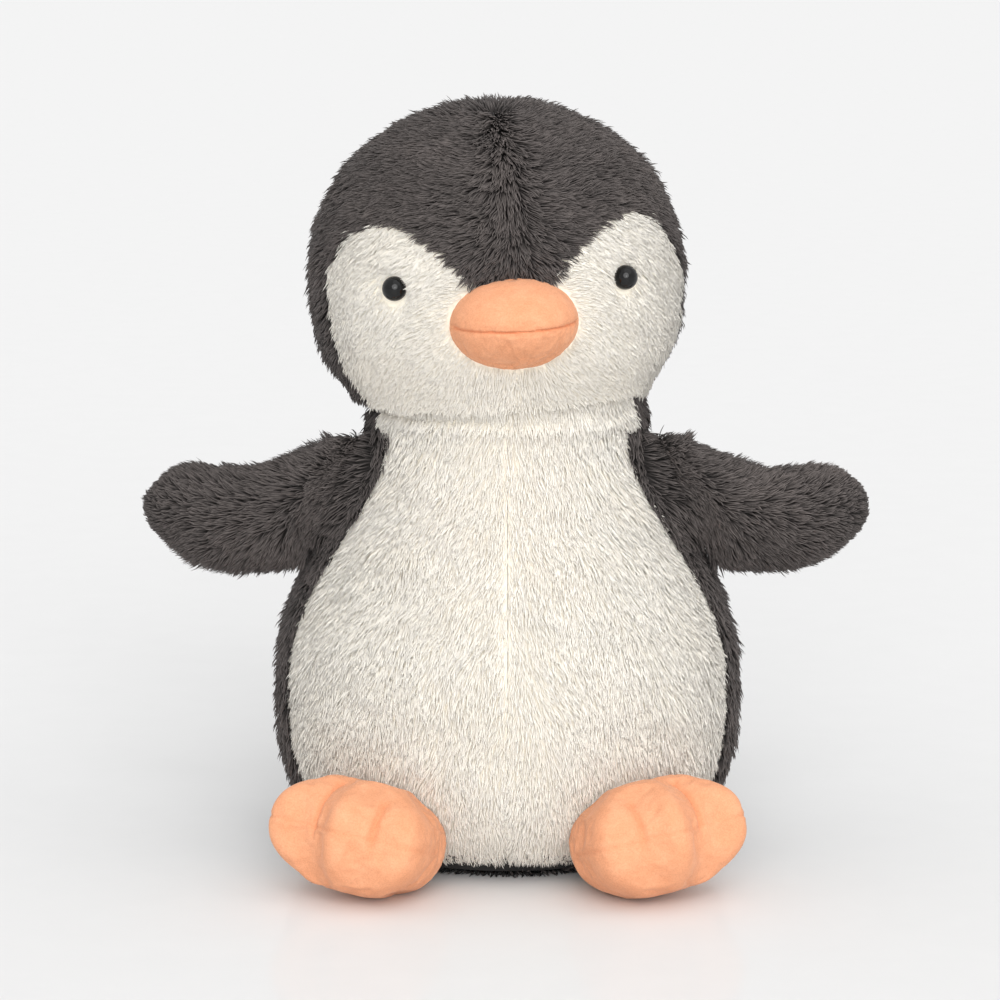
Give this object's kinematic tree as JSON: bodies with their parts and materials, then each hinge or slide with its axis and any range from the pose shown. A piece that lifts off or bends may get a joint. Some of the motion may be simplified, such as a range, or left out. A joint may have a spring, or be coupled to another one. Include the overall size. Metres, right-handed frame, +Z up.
{
  "type": "plush penguin toy",
  "caption": "Seated plush penguin with a pellet-weighted flat base, pale face and belly, stuffed beak and feet, and a head, wings and feet that turn on their sewn seams.",
  "frame": {"origin": "on the floor, at the middle of the flat base", "axes": "+Z up, -Y the way the belly faces, +X the penguin's own left"},
  "size_m": [0.3066, 0.2036, 0.3238],
  "materials": {
    "grey_plush": "long pile",
    "cream_plush": "long pile",
    "peach_suede": "short pile suede",
    "filling": "loose polyester fibre",
    "pouch_cotton": "plain woven cotton",
    "pellets": "small round beads",
    "eye_plastic": "polished",
    "washer_plastic": "moulded",
    "grey_thread": "twisted thread",
    "cream_thread": "twisted thread"
  },
  "bodies": {
    "torso": {"left_belly_panel": "cream_plush", "right_belly_panel": "cream_plush", "left_back_panel": "grey_plush", "right_back_panel": "grey_plush", "base_panel": "grey_plush", "body_filling": "filling", "pellet_pouch": "pouch_cotton", "weighting_pellets": "pellets"},
    "neck_seam": {"neck_seam_thread": "cream_thread"},
    "head": {"left_face_panel": "cream_plush", "right_face_panel": "cream_plush", "left_hood_panel": "grey_plush", "right_hood_panel": "grey_plush", "left_back_head_panel": "grey_plush", "right_back_head_panel": "grey_plush", "head_filling": "filling", "left_eye": "eye_plastic", "right_eye": "eye_plastic", "left_eye_washer": "washer_plastic", "right_eye_washer": "washer_plastic", "upper_beak_panel": "peach_suede", "lower_beak_panel": "peach_suede", "beak_filling": "filling"},
    "left_wing_seam": {"left_wing_root_thread": "grey_thread"},
    "left_wing": {"left_wing_front_panel": "grey_plush", "left_wing_back_panel": "grey_plush", "left_wing_filling": "filling"},
    "right_wing_seam": {"right_wing_root_thread": "grey_thread"},
    "right_wing": {"right_wing_front_panel": "grey_plush", "right_wing_back_panel": "grey_plush", "right_wing_filling": "filling"},
    "left_foot": {"left_foot_top_panel": "peach_suede", "left_foot_sole_panel": "peach_suede", "left_foot_filling": "filling"},
    "right_foot": {"right_foot_top_panel": "peach_suede", "right_foot_sole_panel": "peach_suede", "right_foot_filling": "filling"}
  },
  "joints": [
    {"name": "head_turn", "type": "hinge", "parent": "torso", "child": "neck_seam", "pos_m": [0, 0, 0.196], "axis": [0, 0, 1], "range_deg": [-15, 15], "stiffness_Nm_per_rad": 1},
    {"name": "head_nod", "type": "hinge", "parent": "neck_seam", "child": "head", "pos_m": [0, 0, 0.196], "axis": [0.9949, 0.1011, 0], "range_deg": [-8, 8], "stiffness_Nm_per_rad": 1.5},
    {"name": "left_wing_flap", "type": "hinge", "parent": "torso", "child": "left_wing_seam", "pos_m": [0.0745, -0.014, 0.1575], "axis": [0, -1, 0], "range_deg": [-12, 10], "stiffness_Nm_per_rad": 0.15},
    {"name": "left_wing_swing", "type": "hinge", "parent": "left_wing_seam", "child": "left_wing", "pos_m": [0.0745, -0.014, 0.1575], "axis": [0.4305, 0, -0.9026], "range_deg": [-30, 55], "stiffness_Nm_per_rad": 0.1},
    {"name": "right_wing_flap", "type": "hinge", "parent": "torso", "child": "right_wing_seam", "pos_m": [-0.0745, -0.014, 0.1575], "axis": [0, 1, 0], "range_deg": [-12, 10], "stiffness_Nm_per_rad": 0.15},
    {"name": "right_wing_swing", "type": "hinge", "parent": "right_wing_seam", "child": "right_wing", "pos_m": [-0.0745, -0.014, 0.1575], "axis": [0.4305, 0, 0.9026], "range_deg": [-30, 55], "stiffness_Nm_per_rad": 0.1},
    {"name": "left_foot_flex", "type": "hinge", "parent": "torso", "child": "left_foot", "pos_m": [0.04355, -0.06399, 0.019], "axis": [-0.8882, -0.4594, 0], "range_deg": [-15, 8], "stiffness_Nm_per_rad": 0.4},
    {"name": "right_foot_flex", "type": "hinge", "parent": "torso", "child": "right_foot", "pos_m": [-0.04355, -0.06399, 0.019], "axis": [-0.8882, 0.4594, 0], "range_deg": [-15, 8], "stiffness_Nm_per_rad": 0.4}
  ]
}
